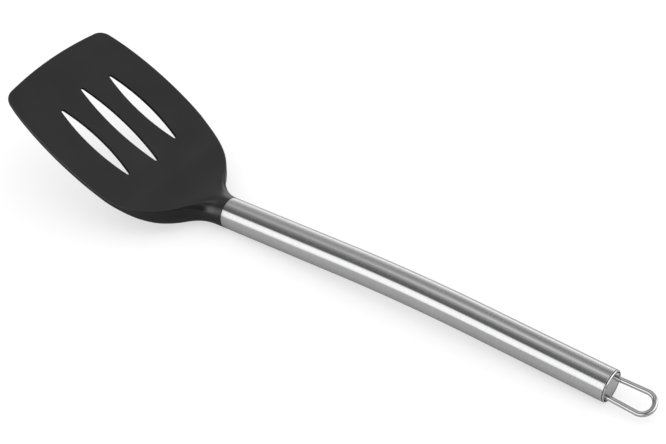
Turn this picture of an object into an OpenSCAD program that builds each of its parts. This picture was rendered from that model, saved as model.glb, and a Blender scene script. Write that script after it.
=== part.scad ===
// Slotted grill spatula: a moulded nylon head on a bent steel tube handle with a
// steel end cap and a wire hanging loop. It lies on a table, the way it is put down:
// the tube mouth and the end cap touch z = 0 and the blade slopes up to the front.
// +X runs from the blade to the hanging loop, +Z is up, units are millimetres.

/* [Blade] */
// Front edge to the middle of the slots
blade_front = 52.5; // [48:0.1:60]
// Half the width of the front edge, with its rounded corners
front_half_w = 40; // [34:0.1:42]
// Half the greatest width of the blade
blade_half_w = 44.1; // [43:0.1:50]
// How far the middle of the front edge stands ahead of its corners
front_bow = 3.2; // [1:0.1:6]
// Radius of the two front corners
corner_r = 8; // [4:0.5:12]
// Depth of the flat underside below the level of the front edge
blade_t = 1.6; // [1.2:0.1:3]
// How far the edges of the upper side stand above its middle near the neck
blade_rise = 1; // [0:0.1:1.5]
// Thickness left at the very front edge
lip_t = 0.7; // [0.5:0.1:1.2]
// Length of the bevel under the front edge
lip_len = 11; // [4:1:16]

/* [Slots] */
// Length of the middle slot
mid_slot_len = 57.5; // [40:0.5:58]
// Length of the two side slots
side_slot_len = 50.5; // [36:0.5:54]
// Distance between slot centre lines
slot_pitch = 19.4; // [16:0.1:24]
// Width of a slot at its middle
slot_w = 7.6; // [4:0.1:9]
// Radius of the slot ends
slot_tip_r = 1; // [0.8:0.1:1.8]

/* [Neck] */
// Angle between the blade and the front of the handle
neck_angle = 30.8; // [26:0.1:34]
// Distance from the middle of the slots to the centre of the tube mouth, along the blade
mouth_x = 78.6; // [77:0.1:84]
// Height of the centre of the tube mouth above the blade
mouth_z = 11.3; // [10:0.1:13]
// Length of the shank that the tube is pressed onto
shank_len = 42; // [25:1:60]

/* [Handle] */
// Outside diameter of the tube
tube_od = 17; // [16.5:0.1:18]
// Wall thickness of the tube
tube_wall = 0.6; // [0.5:0.1:0.9]
// Length of the straight tube behind the head
tube_front_len = 73.5; // [65:0.5:90]
// Radius of the gentle bend in the middle of the tube
tube_bend_r = 960; // [700:10:1400]
// Length of the straight tube at the cap
tube_rear_len = 71; // [60:0.5:90]
// How far the handle bends back down
handle_bend = 5; // [3:0.1:8]

/* [End cap] */
// How far the cap stands out of the tube
cap_rim = 1.1; // [1:0.05:1.5]
// Radius rolled onto the edge of the cap
cap_round = 0.8; // [0.3:0.05:0.95]
// Gap between the cap's rolled edge and the end of the tube
cap_seam = 0.3; // [0.1:0.05:0.4]
// Thickness of the cap's end plate
cap_plate_t = 2; // [1.6:0.1:3]
// Length of the cap inside the tube
cap_skirt_len = 12; // [9:1:20]

/* [Hanging loop] */
// Diameter of the loop wire
wire_d = 2.8; // [2:0.1:3]
// Distance between the two legs where they leave the cap
leg_gap = 10.6; // [9.6:0.1:10.6]
// Radius of the rounded end of the loop, at the centre of the wire
loop_r = 5.9; // [5.4:0.1:7]
// How far the loop reaches out of the cap
loop_reach = 23.4; // [18:0.1:30]
// How far the loop is turned about the handle from the plane of the blade
loop_turn = 25; // [-30:1:30]
// How far the legs sit below the middle of the cap
loop_drop = 0.5; // [0:0.1:0.6]

/* [Hidden] */
black = [0.2, 0.2, 0.2];
satin = [0.66, 0.66, 0.67];
polished = [0.8, 0.8, 0.81];

tube_r = tube_od / 2;
bore_r = tube_r - tube_wall;
fit_gap = 0.05;
wire_r = wire_d / 2;
joint_step = 0.03;
joint_lap = 0.3;

// Centre line of the tube, seen from the side: points are [x, z] and angles are
// slopes, both measured from the flat of the blade.
function ahead(p, len, a) = p + len * [cos(a), sin(a)];
function below(p, len, a) = p + len * [sin(a), -cos(a)];
rear_angle = neck_angle - handle_bend;
mouth = [mouth_x, mouth_z];
bend_start = ahead(mouth, tube_front_len, neck_angle);
bend_end = below(below(bend_start, tube_bend_r, neck_angle), -tube_bend_r, rear_angle);
tube_end = ahead(bend_end, tube_rear_len, rear_angle);

// The spatula lies on the lowest points of the tube's two ends.
mouth_low = below(mouth, tube_r, neck_angle);
end_low = below(tube_end, tube_r, rear_angle);
lie = atan2(end_low[1] - mouth_low[1], end_low[0] - mouth_low[0]);
function lying(p) = [p[0] * cos(lie) + p[1] * sin(lie), p[1] * cos(lie) - p[0] * sin(lie)];
front_x = lying([-blade_front, -lip_t])[0];
loop_top = ahead(tube_end, cap_rim + loop_reach - wire_r, rear_angle);
rear_x = lying(loop_top)[0] + wire_r;

// Puts a shape that is drawn in the plane of the blade down on the table.
module lying_down() {
  translate([-(front_x + rear_x) / 2, 0, -lying(mouth_low)[1]]) rotate([0, lie, 0]) children();
}

// Moves to a point of the centre line, with +X along the tube away from the blade.
module on_tube(p, a) {
  translate([p[0], 0, p[1]]) rotate([0, -a, 0]) children();
}

// A round bar along +X.
module bar(r, len) {
  rotate([0, 90, 0]) cylinder(r = r, h = len, $fn = 96);
}

// ---- blade head ----
function bezier(p, t) = pow(1 - t, 3) * p[0] + 3 * pow(1 - t, 2) * t * p[1]
                      + 3 * (1 - t) * t * t * p[2] + pow(t, 3) * p[3];
function curve(p, n) = [for (i = [1:n]) bezier(p, i / n)];
function arc(c, r, a0, a1, n) = [for (i = [0:n]) let (a = a0 + (a1 - a0) * i / n) c + r * [cos(a), sin(a)]];

// Half of the outline from above: bowed front edge, corner, side, shoulder, fillet to the tube.
bow_half = front_half_w - 0.3 * corner_r;
bow_r = (bow_half * bow_half + front_bow * front_bow) / (2 * front_bow);
bow_centre = [bow_r - blade_front, 0];
corner_y = front_half_w - corner_r;
corner_centre = [bow_centre[0] - sqrt(pow(bow_r - corner_r, 2) - corner_y * corner_y), corner_y];
corner_a = atan2(corner_y, corner_centre[0] - bow_centre[0]);
side_a = 100;
corner_end = corner_centre + corner_r * [cos(side_a), sin(side_a)];
widest = [2, blade_half_w];
shoulder = [mouth_x - 16, 2.1 * tube_r];
side = [corner_end, [-30, blade_half_w - 0.8], [-12, blade_half_w + 0.3], widest];
hip = [widest, [24, blade_half_w - 0.6], [49.6, blade_half_w - 2.3], shoulder];
fillet = [shoulder, [mouth_x - 10.4, 9.3], [mouth_x - 6, tube_r + 0.2], [mouth_x + 2, tube_r]];
half_outline = concat(arc(bow_centre, bow_r, 180, corner_a, 6), arc(corner_centre, corner_r, corner_a, side_a, 8),
                      curve(side, 12), curve(hip, 24), curve(fillet, 8));

// The head is a skin over cross-sections. Each has a centre [x, z], the direction of its
// upper side, half a width and half a thickness, and fully rounded sides. Its upper side is
// lower in the middle by dish.
side_steps = 12;
dish_steps = 8;
function section(low, top, half_w, dish) =
  let (half_t = norm(top - low) / 2, up = (top - low) / (2 * half_t), mid = (top + low) / 2,
       flat_w = max(half_w - half_t, 0.03))
  concat(
    [for (i = [0:side_steps])
      let (a = -90 + 180 * i / side_steps, h = half_t * sin(a))
      [mid[0] + up[0] * h, flat_w + half_t * cos(a), mid[1] + up[1] * h]],
    [for (i = [1:dish_steps - 1])
      let (y = flat_w * (1 - 2 * i / dish_steps), h = half_t - dish * (flat_w * flat_w - y * y) / pow(blade_half_w, 2))
      [mid[0] + up[0] * h, y, mid[1] + up[1] * h]],
    [for (i = [side_steps:-1:0])
      let (a = -90 + 180 * i / side_steps, h = half_t * sin(a))
      [mid[0] + up[0] * h, -flat_w - half_t * cos(a), mid[1] + up[1] * h]]);

// The blade, flat below with a bevel under its front edge, and slightly dished above.
neck_x = 24;
function blade_low(x) = -min(blade_t, lip_t + (blade_t - lip_t) * (x + blade_front) / lip_len);
function dish_at(x) = blade_rise * (1 - pow((neck_x - x) / (neck_x + blade_front), 2));
blade_sections = [for (p = half_outline) if (p[1] > 1 && p[0] < neck_x - 1)
  section([p[0], blade_low(p[0])], [p[0], dish_at(p[0]) * pow(p[1] / blade_half_w, 2)], p[1], dish_at(p[0]))];

// The neck runs from the flat blade to the round mouth of the tube: its upper and lower
// edges, seen from the side, are curves that end in line with the tube.
neck_steps = 20;
mouth_top = below(mouth, -tube_r, neck_angle);
top_curve = [[neck_x, blade_rise], [46, -0.3 * blade_rise], ahead(mouth_top, -9.5, neck_angle), mouth_top];
low_curve = [[neck_x, -blade_t], [51, -3.5], ahead(mouth_low, -13, neck_angle), mouth_low];
neck_sections = [for (i = [0:neck_steps])
  let (low = bezier(low_curve, i / neck_steps), top = bezier(top_curve, i / neck_steps),
       half_w = i == neck_steps ? tube_r : max(tube_r, lookup((low[0] + top[0]) / 2, half_outline)))
  section(low, top, half_w, blade_rise * pow(1 - i / neck_steps, 2))];

module skin(sections) {
  n = len(sections[0]);
  last = (len(sections) - 1) * n;
  polyhedron(
    points = [for (s = sections) each s],
    faces = concat(
      [[for (k = [0:n - 1]) k]],
      [[for (k = [n - 1:-1:0]) last + k]],
      [for (i = [0:len(sections) - 2], k = [0:n - 1])
        let (a = i * n + k, b = i * n + (k + 1) % n) each [[a, a + n, b + n], [a, b + n, b]]]));
}

// A slot is two shallow arcs between two round ends.
module slot(len, y) {
  half_l = len / 2 - slot_tip_r;
  half_w = slot_w / 2 - slot_tip_r;
  side_r = (half_l * half_l + half_w * half_w) / (2 * half_w);
  translate([0, y, -2 * blade_t]) linear_extrude(4 * blade_t) {
    intersection() {
      translate([0, side_r - half_w]) circle(side_r + slot_tip_r, $fn = 360);
      translate([0, half_w - side_r]) circle(side_r + slot_tip_r, $fn = 360);
      square([2 * half_l, slot_w + 1], center = true);
    }
    for (s = [-1, 1]) translate([s * half_l, 0]) circle(slot_tip_r, $fn = 32);
  }
}

module shank() {
  on_tube(mouth, neck_angle) {
    translate([-2, 0, 0]) bar(bore_r - 0.5, shank_len + 2);
    for (x = [0.2:8:shank_len - 4]) translate([x, 0, 0]) bar(bore_r - fit_gap, 3);
  }
}

module blade_head() {
  color(black) lying_down() {
    difference() {
      skin(concat(blade_sections, neck_sections));
      slot(mid_slot_len, 0);
      slot(side_slot_len, slot_pitch);
      slot(side_slot_len, -slot_pitch);
    }
    shank();
  }
}

// ---- handle tube ----
// Straight, bent and straight again. The straight lengths run a little way into the
// bend and are a hair thinner, so that the three join into one solid.
module tube_solid(r, over) {
  on_tube(mouth, neck_angle) {
    translate([-over, 0, 0]) bar(r - joint_step, over + tube_front_len + joint_lap);
    translate([tube_front_len, 0, -tube_bend_r]) rotate([90, 0, 0]) rotate([0, 0, 90]) mirror([0, 1, 0])
      rotate_extrude(angle = handle_bend, $fn = 720) translate([tube_bend_r, 0]) circle(r, $fn = 96);
  }
  on_tube(ahead(bend_end, -joint_lap, rear_angle), rear_angle)
    bar(r - joint_step, joint_lap + tube_rear_len + over);
}

module handle_tube() {
  color(satin) lying_down() difference() {
    tube_solid(tube_r, 0);
    tube_solid(bore_r, 1);
  }
}

// ---- end cap ----
cap_end = ahead(tube_end, cap_rim, rear_angle);
leg_y = leg_gap / 2;
// Flare of the legs: they run straight from the cap to touch the rounded end.
arc_x = loop_reach - wire_r - loop_r;
flare = asin(loop_r / norm([arc_x, leg_y])) - atan2(leg_y, arc_x);

// Profile of the cap from its axis outwards: x is the radius, y runs along the handle
// and is 0 at the outer face.
module cap_profile() {
  skirt_r = bore_r - fit_gap;
  difference() {
    union() {
      translate([0, -cap_rim]) square([tube_r - cap_round, cap_rim]);
      translate([0, -cap_rim]) square([tube_r, cap_rim - cap_round]);
      translate([tube_r - cap_round, -cap_round]) circle(cap_round, $fn = 48);
      translate([0, -cap_plate_t]) square([skirt_r, cap_plate_t - cap_rim + 0.5]);
      translate([skirt_r - 0.7, -cap_rim - cap_skirt_len]) square([0.7, cap_skirt_len]);
    }
    // groove between the rolled edge and the face
    translate([tube_r - cap_round - 0.5, -0.4]) square([0.5, 1]);
    translate([skirt_r, -cap_rim - 1]) square([2, 1 + cap_seam]);
  }
}

// Moves to the wire loop, which lies in the plane of X and Y where it leaves the cap.
module on_loop() {
  on_tube(cap_end, rear_angle) translate([0, 0, -loop_drop]) rotate([loop_turn, 0, 0]) children();
}

module leg_path(side) {
  translate([0, side * leg_y, 0]) rotate([0, 0, side * flare]) children();
}

module end_cap() {
  color(polished) lying_down() difference() {
    on_tube(cap_end, rear_angle) rotate([0, 90, 0]) rotate_extrude($fn = 96) cap_profile();
    for (side = [-1, 1]) on_loop() leg_path(side) translate([-6, 0, 0]) bar(wire_r + 0.03, 8);
  }
}

// ---- hanging loop ----
hook_r = 1.8;
hook_depth = 3.5;
hook_tip_gap = 1.9;

// A quarter or half ring of wire about the origin, from angle a0.
module wire_arc(r, a0, a) {
  rotate([0, 0, a0]) rotate_extrude(angle = a, $fn = 96) translate([r, 0]) circle(wire_r, $fn = 48);
}

module hanging_loop() {
  leg_len = sqrt(arc_x * arc_x + leg_y * leg_y - loop_r * loop_r);
  lap = joint_lap / 2;
  color(polished) lying_down() on_loop() {
    for (side = [-1, 1]) leg_path(side) {
      translate([-hook_depth - lap, 0, 0]) bar(wire_r - joint_step, leg_len + hook_depth + 2 * lap);
      // behind the cap the wire turns inwards, so that it cannot be pulled out
      translate([-hook_depth, -side * hook_r, 0]) {
        wire_arc(hook_r, side > 0 ? 90 : 180, 90);
        translate([-hook_r, side * lap, 0]) rotate([side * 90, 0, 0])
          cylinder(r = wire_r - joint_step, h = leg_y - hook_r - hook_tip_gap + lap, $fn = 48);
      }
    }
    translate([arc_x, 0, 0]) wire_arc(loop_r, -90 - flare, 180 + 2 * flare);
  }
}

blade_head();
handle_tube();
end_cap();
hanging_loop();
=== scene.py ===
"""Slotted grill spatula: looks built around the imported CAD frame."""

import math

import bmesh
import bpy
import numpy as np
from mathutils import Matrix, Vector


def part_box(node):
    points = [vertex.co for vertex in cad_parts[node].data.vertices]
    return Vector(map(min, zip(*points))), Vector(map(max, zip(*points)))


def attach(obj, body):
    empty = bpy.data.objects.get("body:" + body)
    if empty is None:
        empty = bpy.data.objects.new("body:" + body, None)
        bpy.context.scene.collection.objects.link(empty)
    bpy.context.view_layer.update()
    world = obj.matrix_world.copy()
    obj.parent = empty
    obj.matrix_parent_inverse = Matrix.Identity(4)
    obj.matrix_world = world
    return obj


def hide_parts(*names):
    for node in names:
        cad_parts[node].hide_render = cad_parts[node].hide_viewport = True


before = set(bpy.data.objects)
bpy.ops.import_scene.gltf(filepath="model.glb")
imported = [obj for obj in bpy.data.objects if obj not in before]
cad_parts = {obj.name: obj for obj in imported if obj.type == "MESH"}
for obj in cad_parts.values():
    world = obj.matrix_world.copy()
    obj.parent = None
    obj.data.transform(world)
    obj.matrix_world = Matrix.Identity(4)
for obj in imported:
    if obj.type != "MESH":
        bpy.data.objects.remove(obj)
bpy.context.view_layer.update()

MM = 0.001

# ---- driving dimensions, in millimetres, as in the CAD source ----
BLADE_FRONT, FRONT_HALF_W, BLADE_HALF_W, FRONT_BOW = 52.5, 40.0, 44.1, 3.2
CORNER_R, BLADE_T, BLADE_RISE, LIP_T, LIP_LEN = 8.0, 1.6, 1.0, 0.7, 11.0
MID_SLOT_LEN, SIDE_SLOT_LEN, SLOT_PITCH, SLOT_W, SLOT_TIP_R = 57.5, 50.5, 19.4, 7.6, 1.0
NECK_ANGLE, MOUTH_X, MOUTH_Z, SHANK_LEN = 30.8, 78.6, 11.3, 42.0
TUBE_OD, TUBE_WALL, TUBE_FRONT_LEN, TUBE_BEND_R = 17.0, 0.6, 73.5, 960.0
TUBE_REAR_LEN, HANDLE_BEND = 71.0, 5.0
CAP_RIM, CAP_ROUND, CAP_PLATE_T, CAP_SKIRT_LEN = 1.1, 0.72, 2.0, 12.0
WIRE_D, LEG_GAP, LOOP_R, LOOP_REACH, LOOP_TURN, LOOP_DROP = 2.8, 10.6, 5.9, 23.4, 25.0, 0.5

EDGE_IN, EDGE_DOWN = 1.0, 0.6  # the rounding of the blade's upper edge: how far in and how far down
EDGE_LOW = 0.3  # rounding of the blade's lower edge
SLOT_LIP_R = 0.12  # rounding of the slots' edges
TUBE_EDGE = 0.14  # rounding of the tube's ends
CAP_DITCH = 0.3  # width of the groove between the cap's rim and its face
CAP_DITCH_DEPTH = 0.5
CAP_FACE_IN = 0.1  # how far the cap's face lies behind its rim
CAP_SKIRT_T = 0.7
CAP_SEAM = 0.34  # the shadow gap between the cap's rim and the tube
HEAD_CHAMFER = 0.12  # where the neck meets the tube
FIT = 0.06  # play between the tube and what sits in it

TUBE_R = TUBE_OD / 2
BORE_R = TUBE_R - TUBE_WALL
WIRE_R = WIRE_D / 2
REAR_ANGLE = NECK_ANGLE - HANDLE_BEND


def rad(a):
    return math.radians(a)


def ahead(p, length, a):
    """The point at this length from p, in the direction that slopes up by a degrees."""
    return np.array(p, float) + length * np.array([math.cos(rad(a)), math.sin(rad(a))])


def below(p, length, a):
    """The point at this length from p, square to that direction and downwards."""
    return np.array(p, float) + length * np.array([math.sin(rad(a)), -math.cos(rad(a))])


# ---- centre line, seen from the side, in the plane of the blade ----
mouth = np.array([MOUTH_X, MOUTH_Z])
bend_start = ahead(mouth, TUBE_FRONT_LEN, NECK_ANGLE)
bend_centre = below(bend_start, TUBE_BEND_R, NECK_ANGLE)
bend_end = below(bend_centre, -TUBE_BEND_R, REAR_ANGLE)
tube_end = ahead(bend_end, TUBE_REAR_LEN, REAR_ANGLE)
cap_end = ahead(tube_end, CAP_RIM, REAR_ANGLE)
mouth_low = below(mouth, TUBE_R, NECK_ANGLE)
mouth_top = below(mouth, -TUBE_R, NECK_ANGLE)
end_low = below(tube_end, TUBE_R, REAR_ANGLE)
LIE = math.atan2(end_low[1] - mouth_low[1], end_low[0] - mouth_low[0])

# The head's box says where the front edge is, and the tube's box where the table is.
head_lo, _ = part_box("blade_head")
tube_lo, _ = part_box("handle_tube")


def lying(x, z):
    """Turns the plane of the blade by the angle at which the spatula lies on the table."""
    return x * math.cos(LIE) + z * math.sin(LIE), z * math.cos(LIE) - x * math.sin(LIE)


SHIFT_X = head_lo.x - lying(-BLADE_FRONT, -LIP_T)[0] * MM
SHIFT_Z = tube_lo.z - lying(*mouth_low)[1] * MM


def lay(points):
    """Points drawn in the plane of the blade, in millimetres, to the row frame."""
    p = np.asarray(points, float).reshape(-1, 3)
    x, z = lying(p[:, 0], p[:, 2])
    return np.stack([x * MM + SHIFT_X, p[:, 1] * MM, z * MM + SHIFT_Z], 1)


def on_axis(p, angle, local, turn=0.0, drop=0.0):
    """Local points, +X along the handle, to the plane of the blade."""
    q = np.asarray(local, float).reshape(-1, 3)
    t, a = rad(turn), rad(angle)
    y = q[:, 1] * math.cos(t) - q[:, 2] * math.sin(t)
    z = q[:, 1] * math.sin(t) + q[:, 2] * math.cos(t) - drop
    x = q[:, 0]
    return np.stack(
        [p[0] + x * math.cos(a) - z * math.sin(a), y, p[1] + x * math.sin(a) + z * math.cos(a)], 1
    )


# ---- mesh helpers ----
def new_object(name, verts, faces, uv=None, smooth_angle=40):
    mesh = bpy.data.meshes.new(name)
    mesh.from_pydata([tuple(v) for v in verts], [], faces)
    if uv is not None:
        layer = mesh.uv_layers.new(name="brush")
        for loop, co in zip(layer.data, uv):
            loop.uv = co
    mesh.validate()
    mesh.update()
    o = bpy.data.objects.new(name, mesh)
    bpy.context.scene.collection.objects.link(o)
    mesh.shade_smooth()
    if smooth_angle:
        mesh.set_sharp_from_angle(angle=rad(smooth_angle))
    return o


def rings_to_mesh(name, rings, along=None, around=None, close=False):
    """A skin over closed rings of equal length. close joins the last ring to the first."""
    n, m = len(rings[0]), len(rings)
    verts = np.concatenate(rings)
    faces, uv = [], []
    for i in range(m if close else m - 1):
        j = (i + 1) % m
        for k in range(n):
            k2 = (k + 1) % n
            faces.append((i * n + k, j * n + k, j * n + k2, i * n + k2))
            if along is not None:
                v0, v1 = around[k], around[k + 1]
                uv += [(along[i], v0), (along[j], v0), (along[j], v1), (along[i], v1)]
    if not close:
        faces.append(tuple(range(n)))
        faces.append(tuple(reversed(range((m - 1) * n, m * n))))
        if along is not None:
            uv += [(along[0], around[k]) for k in range(n)]
            uv += [(along[-1], around[k]) for k in reversed(range(n))]
    return new_object(name, verts, faces, uv if along is not None else None)


def face_outwards(o):
    """Turns the faces so that the mesh encloses a positive volume."""
    mesh = o.data
    co = np.array([v.co for v in mesh.vertices])
    volume = 0.0
    for p in mesh.polygons:
        vs = co[list(p.vertices)]
        for k in range(1, len(vs) - 1):
            volume += np.dot(vs[0], np.cross(vs[k], vs[k + 1]))
    if volume < 0:
        mesh.flip_normals()
    return o


def paint(o, polygons):
    """Gives the piece two material slots, the second for these faces."""
    while len(o.data.materials) < 2:
        o.data.materials.append(bpy.data.materials.new(o.name))
    for i in polygons:
        o.data.polygons[i].material_index = 1


def weld(o, distance=1e-6):
    bm = bmesh.new()
    bm.from_mesh(o.data)
    bmesh.ops.remove_doubles(bm, verts=bm.verts, dist=distance)
    bmesh.ops.dissolve_degenerate(bm, edges=bm.edges, dist=distance)
    bm.to_mesh(o.data)
    bm.free()


def apply_modifiers(o):
    graph = bpy.context.evaluated_depsgraph_get()
    graph.update()
    mesh = bpy.data.meshes.new_from_object(
        o.evaluated_get(graph), preserve_all_data_layers=True, depsgraph=graph
    )
    o.modifiers.clear()
    o.data = mesh
    return o


def cut(o, cutters):
    for c in cutters:
        mod = o.modifiers.new("cut", "BOOLEAN")
        mod.operation = "DIFFERENCE"
        mod.solver = "EXACT"
        mod.object = c
    apply_modifiers(o)
    for c in cutters:
        bpy.data.objects.remove(c)
    return o


def soften(o, sharp_angle):
    o.data.shade_smooth()
    o.data.set_sharp_from_angle(angle=rad(sharp_angle))
    mod = o.modifiers.new("normals", "WEIGHTED_NORMAL")
    mod.keep_sharp = True
    mod.weight = 80
    return apply_modifiers(o)


def circle(r, n, x=0.0):
    """A circle around the X axis."""
    a = np.arange(n) * 2 * math.pi / n
    return np.stack([np.full(n, float(x)), r * np.cos(a), r * np.sin(a)], 1)


def lengths_around(r, n):
    """Metres around a circle of this many millimetres' radius, at n steps and back at the start."""
    return [r * MM * 2 * math.pi * k / n for k in range(n + 1)]


# ---- blade head ----
def bezier(p, t):
    p = [np.array(q, float) for q in p]
    return (1 - t) ** 3 * p[0] + 3 * (1 - t) ** 2 * t * p[1] + 3 * (1 - t) * t * t * p[2] + t**3 * p[3]


def unit(a):
    return np.array([math.cos(rad(a)), math.sin(rad(a))])


def arc(c, r, a0, a1, n):
    return [c + r * unit(a0 + (a1 - a0) * i / n) for i in range(n + 1)]


def curve(p, n):
    return [bezier(p, i / n) for i in range(1, n + 1)]


# The blade's outline: half of it, from the middle of the front edge to the tube's mouth.
bow_half = FRONT_HALF_W - 0.3 * CORNER_R
bow_r = (bow_half**2 + FRONT_BOW**2) / (2 * FRONT_BOW)
bow_centre = np.array([bow_r - BLADE_FRONT, 0])
corner_y = FRONT_HALF_W - CORNER_R
corner_centre = np.array([bow_centre[0] - math.sqrt((bow_r - CORNER_R) ** 2 - corner_y**2), corner_y])
corner_a = math.degrees(math.atan2(corner_y, corner_centre[0] - bow_centre[0]))
SIDE_A = 100
corner_end = corner_centre + CORNER_R * unit(SIDE_A)
widest = [2, BLADE_HALF_W]
shoulder = [MOUTH_X - 16, 2.1 * TUBE_R]
side = [corner_end, [-30, BLADE_HALF_W - 0.8], [-12, BLADE_HALF_W + 0.3], widest]
hip = [widest, [24, BLADE_HALF_W - 0.6], [49.6, BLADE_HALF_W - 2.3], shoulder]
fillet = [shoulder, [MOUTH_X - 10.4, 9.3], [MOUTH_X - 6, TUBE_R + 0.2], [MOUTH_X + 2, TUBE_R]]
outline = np.array(
    arc(bow_centre, bow_r, 180, corner_a, 24)
    + arc(corner_centre, CORNER_R, corner_a, SIDE_A, 24)[1:]
    + curve(side, 40)
    + curve(hip, 80)
    + curve(fillet, 40)
)
tangent = np.gradient(outline, axis=0)
tangent /= np.linalg.norm(tangent, axis=1)[:, None]
outward = np.stack([-tangent[:, 1], tangent[:, 0]], 1)
outward[0] = [-1, 0]

# The neck's upper and lower edges, seen from the side.
NECK_X = 24
before_top, before_low = ahead(mouth_top, -9.5, NECK_ANGLE), ahead(mouth_low, -13, NECK_ANGLE)
top_curve = [[NECK_X, BLADE_RISE], [46, -0.3 * BLADE_RISE], before_top, mouth_top]
low_curve = [[NECK_X, -BLADE_T], [51, -3.5], before_low, mouth_low]
NECK_STEPS = 110
SIDE_STEPS, TOP_STEPS = 12, 10
EDGE_BAND = 1.5  # the strip inside the outline that holds the edge roundings
DOME_FROM = 0.57  # where along the neck its section starts to turn into the tube's circle


def blade_low(x):
    return -min(BLADE_T, LIP_T + (BLADE_T - LIP_T) * max(0.0, x + BLADE_FRONT) / LIP_LEN)


def blade_top(x, y):
    """The upper side is dished: it rises towards its edges, and more so towards the neck."""
    along = 1 - ((NECK_X - x) / (NECK_X + BLADE_FRONT)) ** 2
    return BLADE_RISE * along * (y / BLADE_HALF_W) ** 2


def half_width(x):
    return np.interp(x, outline[:, 0], outline[:, 1])


def neck_dish(t, y, w):
    """How far the neck's upper side lies below its edges; the dish fades out along the neck."""
    return BLADE_RISE * (1 - t) ** 2 * (1 - (y / w) ** 2)


def half_section(half, w, inset, drop, low_r, domed):
    """One side of a cross-section, from the middle of the underside to the middle of the top, as
    (distance from the middle, height above the mid-plane). domed goes from a plate to an ellipse."""
    pts = []
    for sign, a, b in ((-1, low_r, low_r), (1, inset, drop)):
        a, b = min(a, w), min(b, half)
        part = []
        for i in range(TOP_STEPS):
            t = i / TOP_STEPS
            part.append(((w - a) * t, half, 30 * t))
        for i in range(SIDE_STEPS + 1):
            t = 90 * i / SIDE_STEPS
            round_y, round_h = w - a + a * math.sin(rad(t)), half - b + b * math.cos(rad(t))
            part.append((round_y, round_h, 30 + 50 * i / SIDE_STEPS))
        part.append((w, (half - b) / 2, 85))
        out = []
        for y, h, e in part:
            y = y + (w * math.sin(rad(e)) - y) * domed
            h = h + (half * math.cos(rad(e)) - h) * domed
            out.append((y, sign * h))
        pts += out if sign < 0 else [(w, 0.0)] + out[::-1]
    return pts


def blade_ring(p, n):
    """A ring of the flat blade: its points stand in from the outline along the outline's normal."""
    half = (blade_top(p[0], p[1]) - blade_low(p[0])) / 2
    share = min(1.0, 2 * half / BLADE_T)
    upper_in, lower_in = EDGE_IN * share, EDGE_LOW * share
    pts = []
    for band_y, h in half_section(half, EDGE_BAND, upper_in, EDGE_DOWN * share, lower_in, 0):
        inset = EDGE_BAND - band_y
        edge = upper_in if h > 0 else lower_in
        if inset > EDGE_BAND - 0.001:
            x, y = p[0] - n[0], 0.0
        elif h != 0 and inset > edge + 1e-6:
            # the flat part is stretched to the middle of the blade
            t = (EDGE_BAND - inset) / (EDGE_BAND - edge)
            x, y = p[0] - n[0] * edge, max(p[1] - n[1] * edge, 0.0) * t
        else:
            x, y = p[0] - n[0] * inset, max(p[1] - n[1] * inset, 0.0)
        z = h - half + blade_top(x, y) if h >= 0 else h + half + blade_low(x)
        pts.append((x, y, z))
    pts[0] = (pts[1][0], 0.0, pts[1][2])
    pts[-1] = (pts[-2][0], 0.0, pts[-2][2])
    return pts


def ease(t):
    """Smooth step from 0 to 1."""
    t = min(1.0, max(0.0, t))
    return t * t * (3 - 2 * t)


def neck_ring(t):
    """A ring of the neck, which goes from the blade at t = 0 to the tube's circle at t = 1."""
    low, top = bezier(low_curve, t), bezier(top_curve, t)
    half = np.linalg.norm(top - low) / 2
    up = (top - low) / (2 * half)
    mid = (top + low) / 2
    w = TUBE_R if t == 1 else max(TUBE_R, half_width(mid[0]))
    grow = ease((t - 0.5) / 0.5)
    low_grow = 0.7 * ease(t / 0.2) + 0.19 * ease((t - 0.4) / 0.2) + 0.11 * ease((t - 0.85) / 0.15)
    inset = EDGE_IN + (half - EDGE_IN) * grow
    drop = EDGE_DOWN + (half - EDGE_DOWN) * grow
    low_r = EDGE_LOW + (half - EDGE_LOW) * low_grow
    domed = ease((t - DOME_FROM) / (1 - DOME_FROM))
    ring = []
    for y, h in half_section(half, w, inset, drop, low_r, domed):
        h -= neck_dish(t, y, w) if h > 0 else 0
        ring.append((mid[0] + up[0] * h, y, mid[1] + up[1] * h))
    return ring


def both_sides(pts):
    """Mirrors a half section. The two points in the middle plane aren't doubled."""
    pts = np.array(pts)
    return np.concatenate([pts, (pts * [1, -1, 1])[-2:0:-1]])


def build_head():
    rings = [both_sides(blade_ring(p, n)) for p, n in zip(outline, outward) if p[0] < NECK_X - 0.3]
    rings += [both_sides(neck_ring(i / NECK_STEPS)) for i in range(NECK_STEPS + 1)]
    # The neck ends in a small chamfer at the tube, and the shank goes on inside it.
    end = rings[-1]
    centre = np.array([mouth[0], 0, mouth[1]])
    axis = np.array([math.cos(rad(NECK_ANGLE)), 0, math.sin(rad(NECK_ANGLE))])
    rings[-1] = end - axis * HEAD_CHAMFER
    shank_r = BORE_R - FIT
    for r, x in (
        (TUBE_R - HEAD_CHAMFER, 0), (shank_r, 0), (shank_r, SHANK_LEN - 1), (BORE_R - 1, SHANK_LEN)
    ):
        rings.append(centre + (end - centre) * (r / TUBE_R) + axis * x)
    head = rings_to_mesh("blade_head_nylon", [lay(r) for r in rings])
    weld(head)
    return face_outwards(head)


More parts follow.
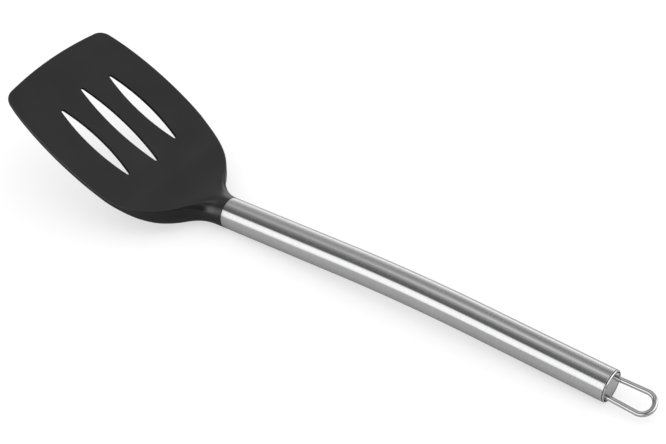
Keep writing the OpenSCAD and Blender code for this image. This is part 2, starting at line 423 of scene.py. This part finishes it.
def slot_outline(length, grow):
    """Two shallow arcs between two round ends, grown outwards."""
    half_l = length / 2 - SLOT_TIP_R
    half_w = SLOT_W / 2 - SLOT_TIP_R
    r = (half_l**2 + half_w**2) / (2 * half_w)
    c = r - half_w
    lean = math.degrees(math.atan2(half_l, c))
    centre, tip = np.array([0, -c]), np.array([half_l, 0])
    pts = arc(centre, r + SLOT_TIP_R + grow, 90 - lean, 90 + lean, 60)[:-1]
    pts += arc(-tip, SLOT_TIP_R + grow, 90 + lean, 270 - lean, 14)[:-1]
    pts += arc(-centre, r + SLOT_TIP_R + grow, 270 - lean, 270 + lean, 60)[:-1]
    pts += arc(tip, SLOT_TIP_R + grow, lean - 90, 90 - lean, 14)[:-1]
    return pts


TABLE_T = np.linspace(0, 1, 201)
top_table = np.array([bezier(top_curve, t) for t in TABLE_T])
low_table = np.array([bezier(low_curve, t) for t in TABLE_T])


def top_z(x, y):
    if x <= NECK_X:
        return blade_top(x, y)
    t = np.interp(x, top_table[:, 0], TABLE_T)
    return float(np.interp(x, top_table[:, 0], top_table[:, 1]) - neck_dish(t, y, half_width(x)))


def low_z(x, _):
    return float(np.interp(x, low_table[:, 0], low_table[:, 1])) if x > NECK_X else blade_low(x)


def build_slot(length, y):
    """Cutter for one slot, flared at the top and the bottom so that the edges come out rounded."""
    r = SLOT_LIP_R
    flare = [84, 66, 48, 30, 14, 0]
    over = 0.002  # the flare starts this far outside the surface
    rings = []

    def ring(grow, surface, lift):
        at = [(p[0], p[1] + y) for p in slot_outline(length, grow)]
        return np.array([(px, py, surface(px, py) + lift) for px, py in at])

    widest_grow = r * (1 - math.cos(rad(flare[0]))) + 0.4
    rings.append(ring(widest_grow, top_z, 0.6))
    for a in flare:
        rings.append(ring(r * (1 - math.cos(rad(a))), top_z, r * math.sin(rad(a)) - r + over))
    for a in reversed(flare):
        rings.append(ring(r * (1 - math.cos(rad(a))), low_z, r - r * math.sin(rad(a)) - over))
    rings.append(ring(widest_grow, low_z, -0.6))
    cutter = face_outwards(rings_to_mesh("slot_cutter", [lay(q) for q in rings]))
    # painted shade: the cutter's faces become the slot walls, which get the dark second material
    paint(cutter, range(len(cutter.data.polygons)))
    return cutter


head = build_head()
paint(head, ())
SLOTS = ((MID_SLOT_LEN, 0), (SIDE_SLOT_LEN, SLOT_PITCH), (SIDE_SLOT_LEN, -SLOT_PITCH))
cut(head, [build_slot(length, y) for length, y in SLOTS])
soften(head, 40)

# ---- handle tube ----
TUBE_SIDES = 128
STRAIGHT_STEPS, BEND_STEPS = 24, 48


def tube_stations():
    """Centre, slope and distance along the tube, from the mouth to the cap."""
    out = []
    for i in range(STRAIGHT_STEPS + 1):
        d = TUBE_FRONT_LEN * i / STRAIGHT_STEPS
        out.append((ahead(mouth, d, NECK_ANGLE), NECK_ANGLE, d))
    bend_len = TUBE_BEND_R * rad(HANDLE_BEND)
    for i in range(1, BEND_STEPS + 1):
        a = NECK_ANGLE - HANDLE_BEND * i / BEND_STEPS
        out.append((below(bend_centre, -TUBE_BEND_R, a), a, TUBE_FRONT_LEN + bend_len * i / BEND_STEPS))
    for i in range(1, STRAIGHT_STEPS + 1):
        d = TUBE_REAR_LEN * i / STRAIGHT_STEPS
        out.append((ahead(bend_end, d, REAR_ANGLE), REAR_ANGLE, TUBE_FRONT_LEN + bend_len + d))
    return out


def build_tube():
    stations = tube_stations()
    rings, along = [], []

    def add(r, station, dx=0.0):
        p, a, d = station
        rings.append(lay(on_axis(p, a, circle(r, TUBE_SIDES, dx))))
        along.append((d + dx) * MM)

    first, last = stations[0], stations[-1]
    lip = [(TUBE_R - TUBE_EDGE * (1 - c), TUBE_EDGE * (1 - s)) for c, s in map(unit, (90, 60, 30, 0))]
    for r, dx in lip:
        add(r, first, dx)
    for s in stations[1:-1]:
        add(TUBE_R, s)
    for r, dx in reversed(lip):
        add(r, last, -dx)
    add(BORE_R, last)
    for s in reversed(stations[1:-1]):
        add(BORE_R, s)
    add(BORE_R, first)
    around = lengths_around(TUBE_R, TUBE_SIDES)
    return face_outwards(rings_to_mesh("handle_tube_steel", rings, along, around, close=True))


tube = build_tube()

# ---- end cap ----
CAP_SIDES = 96
HOLE_SIDES = 40
AXIS_R = 0.001  # the smallest ring, at the cap's axis
BEAD_POWER = 1.25  # above 1, the rolled rim is a little flatter than a quarter circle

leg_y = LEG_GAP / 2
arc_x = LOOP_REACH - WIRE_R - LOOP_R
flare_a = math.asin(LOOP_R / math.hypot(arc_x, leg_y)) - math.atan2(leg_y, arc_x)


def cap_profile():
    """(radius, distance along the handle from the outermost point), from the middle of the face
    over the rolled rim to the inside."""
    skirt, inside = BORE_R - FIT, BORE_R - FIT - CAP_SKIRT_T
    bead = TUBE_R - CAP_ROUND
    ditch = bead - 0.12
    face = ditch - CAP_DITCH
    rim_back = -CAP_RIM + CAP_SEAM
    skirt_end = -CAP_RIM - CAP_SKIRT_LEN
    pts = [(AXIS_R, -CAP_FACE_IN), (face - 0.1, -CAP_FACE_IN), (face, -0.16), (face, -CAP_DITCH_DEPTH)]
    pts += [(ditch, -CAP_DITCH_DEPTH), (ditch, -0.12), (bead - 0.09, -0.03)]
    for a in range(0, 91, 6):
        c, s = unit(a)
        pts.append((bead + CAP_ROUND * s**BEAD_POWER, -CAP_ROUND + CAP_ROUND * c**BEAD_POWER))
    pts += [(TUBE_R - 0.04, rim_back + 0.03), (TUBE_R - 0.1, rim_back), (skirt, rim_back)]
    pts += [(skirt, -CAP_RIM - 1), (skirt, skirt_end), (inside, skirt_end)]
    pts += [(inside, -CAP_PLATE_T), (AXIS_R, -CAP_PLATE_T)]
    return pts


def leg_point(leg, x, dy, dz):
    """A point beside one leg of the loop: x runs along it from the face of the cap."""
    c, s = math.cos(leg * flare_a), math.sin(leg * flare_a)
    return x * c - dy * s, leg * leg_y + x * s + dy * c, dz


def lay_loop(points):
    """Points drawn in the loop's own axes, to the row frame."""
    return lay(on_axis(cap_end, REAR_ANGLE, points, LOOP_TURN, LOOP_DROP))


def is_gap(p):
    """Whether a point of the profile lies in the groove in the face or in the seam to the tube."""
    in_ditch = 6 < p[0] < TUBE_R - CAP_ROUND + 0.14 and p[1] > -CAP_DITCH_DEPTH - 0.01
    from_rim = p[1] + CAP_RIM
    in_seam = BORE_R - 1 < p[0] < TUBE_R - 0.09 and -1.01 < from_rim < CAP_SEAM + 0.01
    return in_ditch or in_seam


def build_cap():
    profile = cap_profile()
    rings = [lay(on_axis(cap_end, REAR_ANGLE, circle(r, CAP_SIDES, x))) for r, x in profile]
    cap = face_outwards(rings_to_mesh("end_cap_steel", rings))
    # painted shade: the walls of the groove and of the gap to the tube get a dark material
    dark = {i for i, (a, b) in enumerate(zip(profile, profile[1:])) if is_gap(a) and is_gap(b)}
    paint(cap, [i for i in range(len(cap.data.polygons)) if i // CAP_SIDES in dark])
    cutters = []
    for leg in (-1, 1):
        hole = []
        for x, grow in ((-4, 0.05), (-0.1, 0.05), (0.02, 0.16), (1.2, 1.2)):
            pts = [leg_point(leg, x, dy, dz) for _, dy, dz in circle(WIRE_R + grow, HOLE_SIDES)]
            hole.append(lay_loop(pts))
        cutters.append(face_outwards(rings_to_mesh("hole_cutter", hole)))
    cut(cap, cutters)
    return soften(cap, 35)


cap = build_cap()


# ---- hanging loop ----
WIRE_SIDES = 32
WIRE_CHAMFER = 0.3  # on the two ends of the wire
# the turned-in ends, hidden behind the cap's plate
HOOK_R, HOOK_DEPTH, HOOK_TIP_GAP = 1.8, 3.5, 1.9


def loop_path():
    """Centre line of the wire in its own plane: hook, leg, round end, leg, hook."""
    # from the tip of the hidden hook out to the leg, in the leg's own axes (x along it, dy outwards)
    run = leg_y - HOOK_R - HOOK_TIP_GAP
    half = [(-HOOK_DEPTH - HOOK_R, -HOOK_R - run * (1 - i / 4)) for i in range(4)]
    half += arc(np.array([-HOOK_DEPTH, -HOOK_R]), HOOK_R, 180, 90, 8)
    leg_len = math.sqrt(arc_x**2 + leg_y**2 - LOOP_R**2)
    half += [(-HOOK_DEPTH + (leg_len + HOOK_DEPTH) * i / 16, 0.0) for i in range(1, 16)]
    half = [np.array(leg_point(1, x, dy, 0.0)[:2]) for x, dy in half]
    end_a = 90 + math.degrees(flare_a)
    end = arc(np.array([arc_x, 0]), LOOP_R, end_a, -end_a, 64)
    other = [p * [1, -1] for p in reversed(half)]
    return np.array(half + end + other)


def build_loop():
    path = loop_path()
    tangents = np.gradient(path, axis=0)
    tangents /= np.linalg.norm(tangents, axis=1)[:, None]
    rings, along, d = [], [], 0.0
    for i, (p, q) in enumerate(zip(path, tangents)):
        if i:
            d += np.linalg.norm(p - path[i - 1])
        radii = [(WIRE_R, 0)]
        if i == 0:
            radii = [(WIRE_R - WIRE_CHAMFER, 0), (WIRE_R, WIRE_CHAMFER)]
        if i == len(path) - 1:
            radii = [(WIRE_R, -WIRE_CHAMFER), (WIRE_R - WIRE_CHAMFER, 0)]
        for r, dx in radii:
            _, dy, dz = circle(r, WIRE_SIDES).T
            x = p[0] + q[0] * dx - q[1] * dy
            y = p[1] + q[1] * dx + q[0] * dy
            rings.append(lay_loop(np.stack([x, y, dz], 1)))
            along.append((d + dx) * MM)
    around = lengths_around(WIRE_R, WIRE_SIDES)
    return face_outwards(rings_to_mesh("hanging_loop_wire", rings, along, around))


loop = build_loop()


# ---- materials ----
class Nodes:
    """A small helper for building a node material."""

    def __init__(self, tree):
        self.tree = tree
        tree.nodes.clear()

    def add(self, kind, inputs=None, **settings):
        node = self.tree.nodes.new(kind)
        for k, v in settings.items():
            setattr(node, k, v)
        for k, v in (inputs or {}).items():
            self.put(node.inputs[k], v)
        return node

    def put(self, socket, value):
        if isinstance(value, bpy.types.NodeSocket):
            self.tree.links.new(value, socket)
        else:
            socket.default_value = value

    def math(self, op, a, b=0.0, clamp=False):
        return self.add("ShaderNodeMath", {0: a, 1: b}, operation=op, use_clamp=clamp).outputs[0]

    def noise(self, vector, scale, detail=3.0, rough=0.55):
        inputs = {"Vector": vector, "Scale": scale, "Detail": detail, "Roughness": rough}
        return self.add("ShaderNodeTexNoise", inputs).outputs["Fac"]

    def remap(self, value, a, b, c, d):
        """Takes a..b to c..d, and holds the ends."""
        inputs = {"Value": value, "From Min": a, "From Max": b, "To Min": c, "To Max": d}
        return self.add("ShaderNodeMapRange", inputs).outputs["Result"]

    def blend(self, factor, a, b):
        """a where factor is 0, b where it is 1."""
        inputs = {"Factor": factor, "A": a, "B": b}
        return self.add("ShaderNodeMix", inputs, data_type="FLOAT").outputs[0]

    def scaled(self, vector, xyz):
        return self.add("ShaderNodeVectorMath", {0: vector, 1: xyz}, operation="MULTIPLY").outputs[0]

    def total(self, *values):
        """The sum of two or more values."""
        out = values[0]
        for v in values[1:]:
            out = self.math("ADD", out, v)
        return out

    def product(self, *values):
        out = values[0]
        for v in values[1:]:
            out = self.math("MULTIPLY", out, v)
        return out

    def normal(self):
        return self.add("ShaderNodeNewGeometry").outputs["Normal"]

    def facing(self, direction):
        """How squarely the surface faces a direction: 1 straight on, 0 side on."""
        inputs = {0: self.normal(), 1: direction}
        return self.add("ShaderNodeVectorMath", inputs, operation="DOT_PRODUCT").outputs["Value"]

    def edge_mask(self, low, high):
        """1 on convex edges, 0 elsewhere."""
        point = self.add("ShaderNodeNewGeometry").outputs["Pointiness"]
        return self.remap(point, low, high, 0.0, 1.0)

    def bump(self, strength, distance, height):
        inputs = {"Strength": strength, "Distance": distance, "Height": height}
        return self.add("ShaderNodeBump", inputs).outputs[0]

    def grey(self, value, tint=(1, 1, 1)):
        """A tinted grey from a value."""
        parts = {i: self.math("MULTIPLY", value, t) for i, t in enumerate(tint)}
        return self.add("ShaderNodeCombineColor", parts).outputs[0]

    def finish(self, shader, kind="ShaderNodeOutputMaterial"):
        self.add(kind, {"Surface": shader.outputs[0]})


def material(name):
    m = bpy.data.materials.new(name)
    m.use_nodes = True
    return m, Nodes(m.node_tree)


def lean(a):
    """Upwards, leaned back by a radians towards the loop."""
    return math.sin(a), 0, math.cos(a)


def nylon():
    m, n = material("black_nylon")
    at = n.add("ShaderNodeTexCoord").outputs["Object"]
    cloud = n.noise(at, 45, 4)
    grain = n.noise(at, 2600, 3, 0.6)
    fine = n.noise(at, 6500, 2, 0.5)
    worn = n.product(n.edge_mask(0.52, 0.62), n.noise(at, 420, 3), 0.004)
    upper = n.facing(lean(LIE))
    rearward, sideward, _ = n.add("ShaderNodeSeparateXYZ", {0: n.normal()}).outputs
    # painted highlight: the base colour of the blade's rounded upper edge is made a little lighter
    painted_edge_highlight = n.product(
        n.remap(upper, 0.30, 0.45, 0, 1), n.remap(upper, 0.75, 0.90, 1, 0),
        n.remap(n.math("ABSOLUTE", sideward), 0.5, 0.65, 0, 1),
        n.remap(rearward, 0.10, 0.25, 0, 1), n.remap(rearward, 0.42, 0.55, 1, 0), 0.03,
    )
    tone = n.total(
        n.remap(cloud, 0.3, 0.7, 0.0095, 0.0115), n.remap(grain, 0.35, 0.65, -0.001, 0.001),
        worn, painted_edge_highlight,
    )
    rough = n.total(n.remap(cloud, 0.3, 0.7, 0.31, 0.36), n.remap(grain, 0.35, 0.65, -0.02, 0.02))
    # painted shade in the reflections: the specular level is lowered on the sides, on the back of the
    # shoulders and where the neck's ramp faces, by which way the surface faces
    ramp = n.facing(lean(LIE - rad(NECK_ANGLE)))
    shoulder = n.product(n.remap(rearward, 0.40, 0.60, 0, 1), n.remap(upper, 0.92, 0.98, 1, 0))
    shoulder_edge = n.product(shoulder, n.remap(upper, 0.25, 0.5, 0.3, 0.85))
    specular_shaded_by_facing = n.product(
        n.remap(upper, 0.1, 0.5, 0.35, 0.7), n.math("SUBTRACT", 1.0, shoulder_edge),
        n.remap(ramp, 0.955, 0.995, 1.0, 0.6),
    )
    height = n.total(n.product(grain, 0.7), n.product(fine, 0.4))
    n.finish(n.add("ShaderNodeBsdfPrincipled", {
        "Base Color": n.grey(tone, (1, 1, 1.01)), "Roughness": rough,
        "Specular IOR Level": specular_shaded_by_facing, "Normal": n.bump(0.30, 0.00003, height),
    }))
    return m


def shadow_line(name, base, rough):
    """Painted shade for the inside of a slot, a groove or a seam: a dull, dark material."""
    m, n = material(name)
    grain = n.noise(n.add("ShaderNodeTexCoord").outputs["Object"], 2600, 3, 0.6)
    n.finish(n.add("ShaderNodeBsdfPrincipled", {
        "Base Color": n.grey(n.remap(grain, 0.3, 0.7, base * 0.8, base * 1.2)),
        "Roughness": n.remap(grain, 0.3, 0.7, rough - 0.05, rough + 0.05),
        "Specular IOR Level": 0.15, "Normal": n.bump(0.2, 0.00003, grain),
    }))
    return m


def brushed():
    """Satin steel brushed around the tube: the grain runs across, so reflections smear along it."""
    m, n = material("satin_steel")
    uv = n.add("ShaderNodeUVMap", uv_map="brush").outputs[0]
    hair = n.noise(n.scaled(uv, (9000, 260, 1)), 1.0, 4, 0.65)
    streak = n.noise(n.scaled(uv, (1500, 60, 1)), 1.0, 3, 0.6)
    cloud = n.noise(n.scaled(uv, (40, 60, 1)), 1.0, 3, 0.5)
    tone = n.total(
        n.remap(hair, 0.3, 0.7, 0.600, 0.650), n.remap(streak, 0.3, 0.7, -0.020, 0.020),
        n.remap(cloud, 0.3, 0.7, -0.012, 0.012), n.product(n.edge_mask(0.52, 0.6), 0.05),
    )
    rough = n.total(n.remap(hair, 0.3, 0.7, 0.22, 0.28), n.remap(cloud, 0.3, 0.7, -0.015, 0.015))
    around = n.add("ShaderNodeTangent", direction_type="UV_MAP", uv_map="brush")
    n.finish(n.add("ShaderNodeBsdfPrincipled", {
        "Base Color": n.grey(tone, (1, 1, 1.005)), "Metallic": 1.0, "Roughness": rough,
        "Anisotropic": 0.92, "Tangent": around.outputs[0],
        "Normal": n.bump(0.10, 0.00001, n.total(hair, streak)),
    }))
    return m


def cap_steel():
    m, n = material("cap_steel")
    at = n.add("ShaderNodeTexCoord").outputs["Object"]
    hair = n.noise(n.scaled(at, (1500, 9000, 1500)), 1.0, 3)
    cloud = n.noise(at, 300, 3)
    tone = n.total(
        n.remap(hair, 0.3, 0.7, 0.60, 0.66), n.remap(cloud, 0.3, 0.7, -0.015, 0.015),
        n.product(n.edge_mask(0.52, 0.62), 0.06),
    )
    # the face is brushed, the rolled edge is polished
    axis = on_axis((0, 0), REAR_ANGLE - math.degrees(LIE), [(1, 0, 0)])[0]
    face = n.remap(n.facing(tuple(axis)), 0.96, 0.99, 0.0, 1.0)
    rough = n.total(
        n.remap(cloud, 0.3, 0.7, 0.07, 0.11), n.product(face, 0.14),
        n.remap(hair, 0.3, 0.7, -0.02, 0.02),
    )
    n.finish(n.add("ShaderNodeBsdfPrincipled", {
        "Base Color": n.grey(tone), "Metallic": 1.0, "Roughness": rough,
        "Normal": n.bump(0.06, 0.00001, hair),
    }))
    return m


def wire_steel():
    m, n = material("wire_steel")
    uv = n.add("ShaderNodeUVMap", uv_map="brush").outputs[0]
    draw = n.noise(n.scaled(uv, (120, 5200, 1)), 1.0, 3)
    cloud = n.noise(n.scaled(uv, (260, 260, 1)), 1.0, 3)
    tone = n.total(
        n.remap(draw, 0.3, 0.7, 0.56, 0.62), n.remap(cloud, 0.3, 0.7, -0.02, 0.02),
        n.product(n.edge_mask(0.55, 0.65), 0.04),
    )
    # painted shade: the base colour darkens towards the wire's outline, by how squarely it faces the
    # camera
    rim = n.add("ShaderNodeLayerWeight", {"Blend": 0.5}).outputs["Facing"]
    tone = n.product(tone, n.remap(rim, 0.55, 1.0, 1.0, 0.4))
    n.finish(n.add("ShaderNodeBsdfPrincipled", {
        "Base Color": n.grey(tone), "Metallic": 1.0,
        "Roughness": n.remap(cloud, 0.3, 0.7, 0.05, 0.09), "Normal": n.bump(0.05, 0.00001, draw),
    }))
    return m


# painted shade for the slot walls and for the cap's groove and seam
slot_shade = shadow_line("nylon_slot_wall", 0.003, 0.6)
cap_gap_shade = shadow_line("cap_gap_shade", 0.005, 0.7)
for piece, looks, node, slot in (
    (head, [nylon(), slot_shade], "blade_head", "black_nylon"),
    (tube, [brushed()], "handle_tube", "satin_steel"),
    (cap, [cap_steel(), cap_gap_shade], "end_cap", "cap_steel"),
    (loop, [wire_steel()], "hanging_loop", "wire_steel"),
):
    # clearing the slots resets every face to the first one
    indices = [p.material_index for p in piece.data.polygons]
    piece.data.materials.clear()
    for look in looks:
        piece.data.materials.append(look)
    piece.data.polygons.foreach_set("material_index", indices)
    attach(piece, "root")
    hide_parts(node)

# ---- floor ----
FLOOR_HALF = 3.0


def build_floor():
    h = FLOOR_HALF
    corners = [(-h, -h, 0), (h, -h, 0), (h, h, 0), (-h, h, 0)]
    o = new_object("floor", corners, [(0, 1, 2, 3)], smooth_angle=0)
    m, n = material("floor")
    seen = n.add("ShaderNodeLightPath").outputs["Is Camera Ray"]
    # to the eye the floor is bright and its shadows faint; in the steel it is a mid grey
    cloth = n.add("ShaderNodeBsdfDiffuse", {"Color": n.grey(n.remap(seen, 0, 1, 0.50, 0.44))})
    glow = n.add("ShaderNodeEmission", {"Strength": n.math("MULTIPLY", seen, 0.56)})
    n.finish(n.add("ShaderNodeAddShader", {0: cloth.outputs[0], 1: glow.outputs[0]}))
    o.data.materials.append(m)


build_floor()

# ---- studio light ----
# What the steel mirrors, by the angle from overhead: minus is behind the object, plus is in front.
# Each row is an angle and the brightness there towards the blade end, across the middle, and out
# to the loop end, where the blade's upper side looks.
STUDIO = (
    (-94, 0.80, 0.80, 1.30), (-81, 1.75, 1.60, 1.40), (-68, 0.92, 0.82, 0.60), (-52, 0.56, 0.44, 0.29),
    (-36, 0.42, 0.22, 0.27), (-20, 0.43, 0.48, 0.22), (-6, 0.38, 1.15, 0.10), (8, 0.23, 0.58, 0.05),
    (22, 0.16, 0.22, 0.04), (34, 0.13, 0.13, 0.04), (45, 0.13, 0.13, 0.06), (52, 1.45, 1.45, 1.50),
    (70, 1.60, 1.60, 1.60), (94, 1.55, 1.55, 1.60),
)


STUDIO_TOP = 2.0  # the brightest that a colour ramp has to hold
AMBIENT = 1.12  # what lights everything that is not a mirror


def build_world():
    world = bpy.data.worlds.new("studio")
    bpy.context.scene.world = world
    world.use_nodes = True
    n = Nodes(world.node_tree)
    direction = n.add("ShaderNodeTexCoord").outputs["Generated"]
    x, y, z = n.add("ShaderNodeSeparateXYZ", {0: direction}).outputs
    angle = n.math("ARCTAN2", n.math("MULTIPLY", y, -1.0), z)
    where = n.math("ADD", n.math("MULTIPLY", angle, 0.5 / math.pi), 0.5)
    ramps = []
    for column in (1, 2, 3):
        ramp = n.add("ShaderNodeValToRGB", {0: where})
        ramp.color_ramp.interpolation = "EASE"
        stops = ramp.color_ramp.elements
        while len(stops) > 1:
            stops.remove(stops[-1])
        for i, row in enumerate(STUDIO):
            stop = stops[0] if i == 0 else stops.new(row[0] / 360 + 0.5)
            stop.position = row[0] / 360 + 0.5
            stop.color = (*[row[column] / STUDIO_TOP] * 3, 1)
        ramps.append(ramp.outputs[0])
    bands = n.blend(n.remap(x, -0.52, -0.28, 0, 1), ramps[0], ramps[1])
    bands = n.blend(n.remap(x, 0.0, 0.15, 0, 1), bands, ramps[2])
    # the front softbox ends to the right, and another stands at the right
    front = n.product(n.remap(angle, rad(42), rad(60), 0, 1), n.remap(x, 0.2, 0.5, 0, 0.85))
    right = n.product(n.remap(x, 0.42, 0.58, 0, 1), n.remap(angle, rad(44), rad(54), 1.3, 0))
    mirrored = n.total(n.product(bands, STUDIO_TOP, n.math("SUBTRACT", 1.0, front)), right)
    path = n.add("ShaderNodeLightPath")
    glossy, camera_ray = path.outputs["Is Glossy Ray"], path.outputs["Is Camera Ray"]
    level = n.blend(camera_ray, n.blend(glossy, AMBIENT, mirrored), 1.0)
    back = n.add("ShaderNodeBackground", {"Color": n.grey(level), "Strength": 1.0})
    n.finish(back, "ShaderNodeOutputWorld")


build_world()


def build_key_light():
    light = bpy.data.lights.new("key", "AREA")
    light.shape = "SQUARE"
    light.size = 0.9
    light.energy = 1.0
    o = bpy.data.objects.new("key", light)
    bpy.context.scene.collection.objects.link(o)
    o.location = (0.1, -0.3, 1.2)
    o.rotation_euler = (-o.location).to_track_quat("-Z", "Y").to_euler()
    o.visible_glossy = False


build_key_light()

# ---- camera ----
AZIMUTH, ELEVATION, ROLL = -53.245, 39.527, -1.483  # degrees
DISTANCE = 0.9597  # metres from the point on the table that it looks at
AIM = Vector((-0.0226, 0.0327, 0.0))
LENS, SENSOR = 97.3, 36  # millimetres

camera_data = bpy.data.cameras.new("camera")
camera_data.lens = LENS
camera_data.sensor_width = SENSOR
camera = bpy.data.objects.new("camera", camera_data)
bpy.context.scene.collection.objects.link(camera)
to_camera = Vector((
    math.cos(rad(AZIMUTH)) * math.cos(rad(ELEVATION)),
    math.sin(rad(AZIMUTH)) * math.cos(rad(ELEVATION)),
    math.sin(rad(ELEVATION)),
))
camera.location = AIM + to_camera * DISTANCE
level_view = (-to_camera).to_track_quat("-Z", "Y").to_matrix()
camera.rotation_euler = (level_view @ Matrix.Rotation(rad(ROLL), 3, "Z")).to_euler()
bpy.context.scene.camera = camera

bpy.context.scene.view_settings.view_transform = "Standard"
bpy.context.scene.view_settings.look = "None"
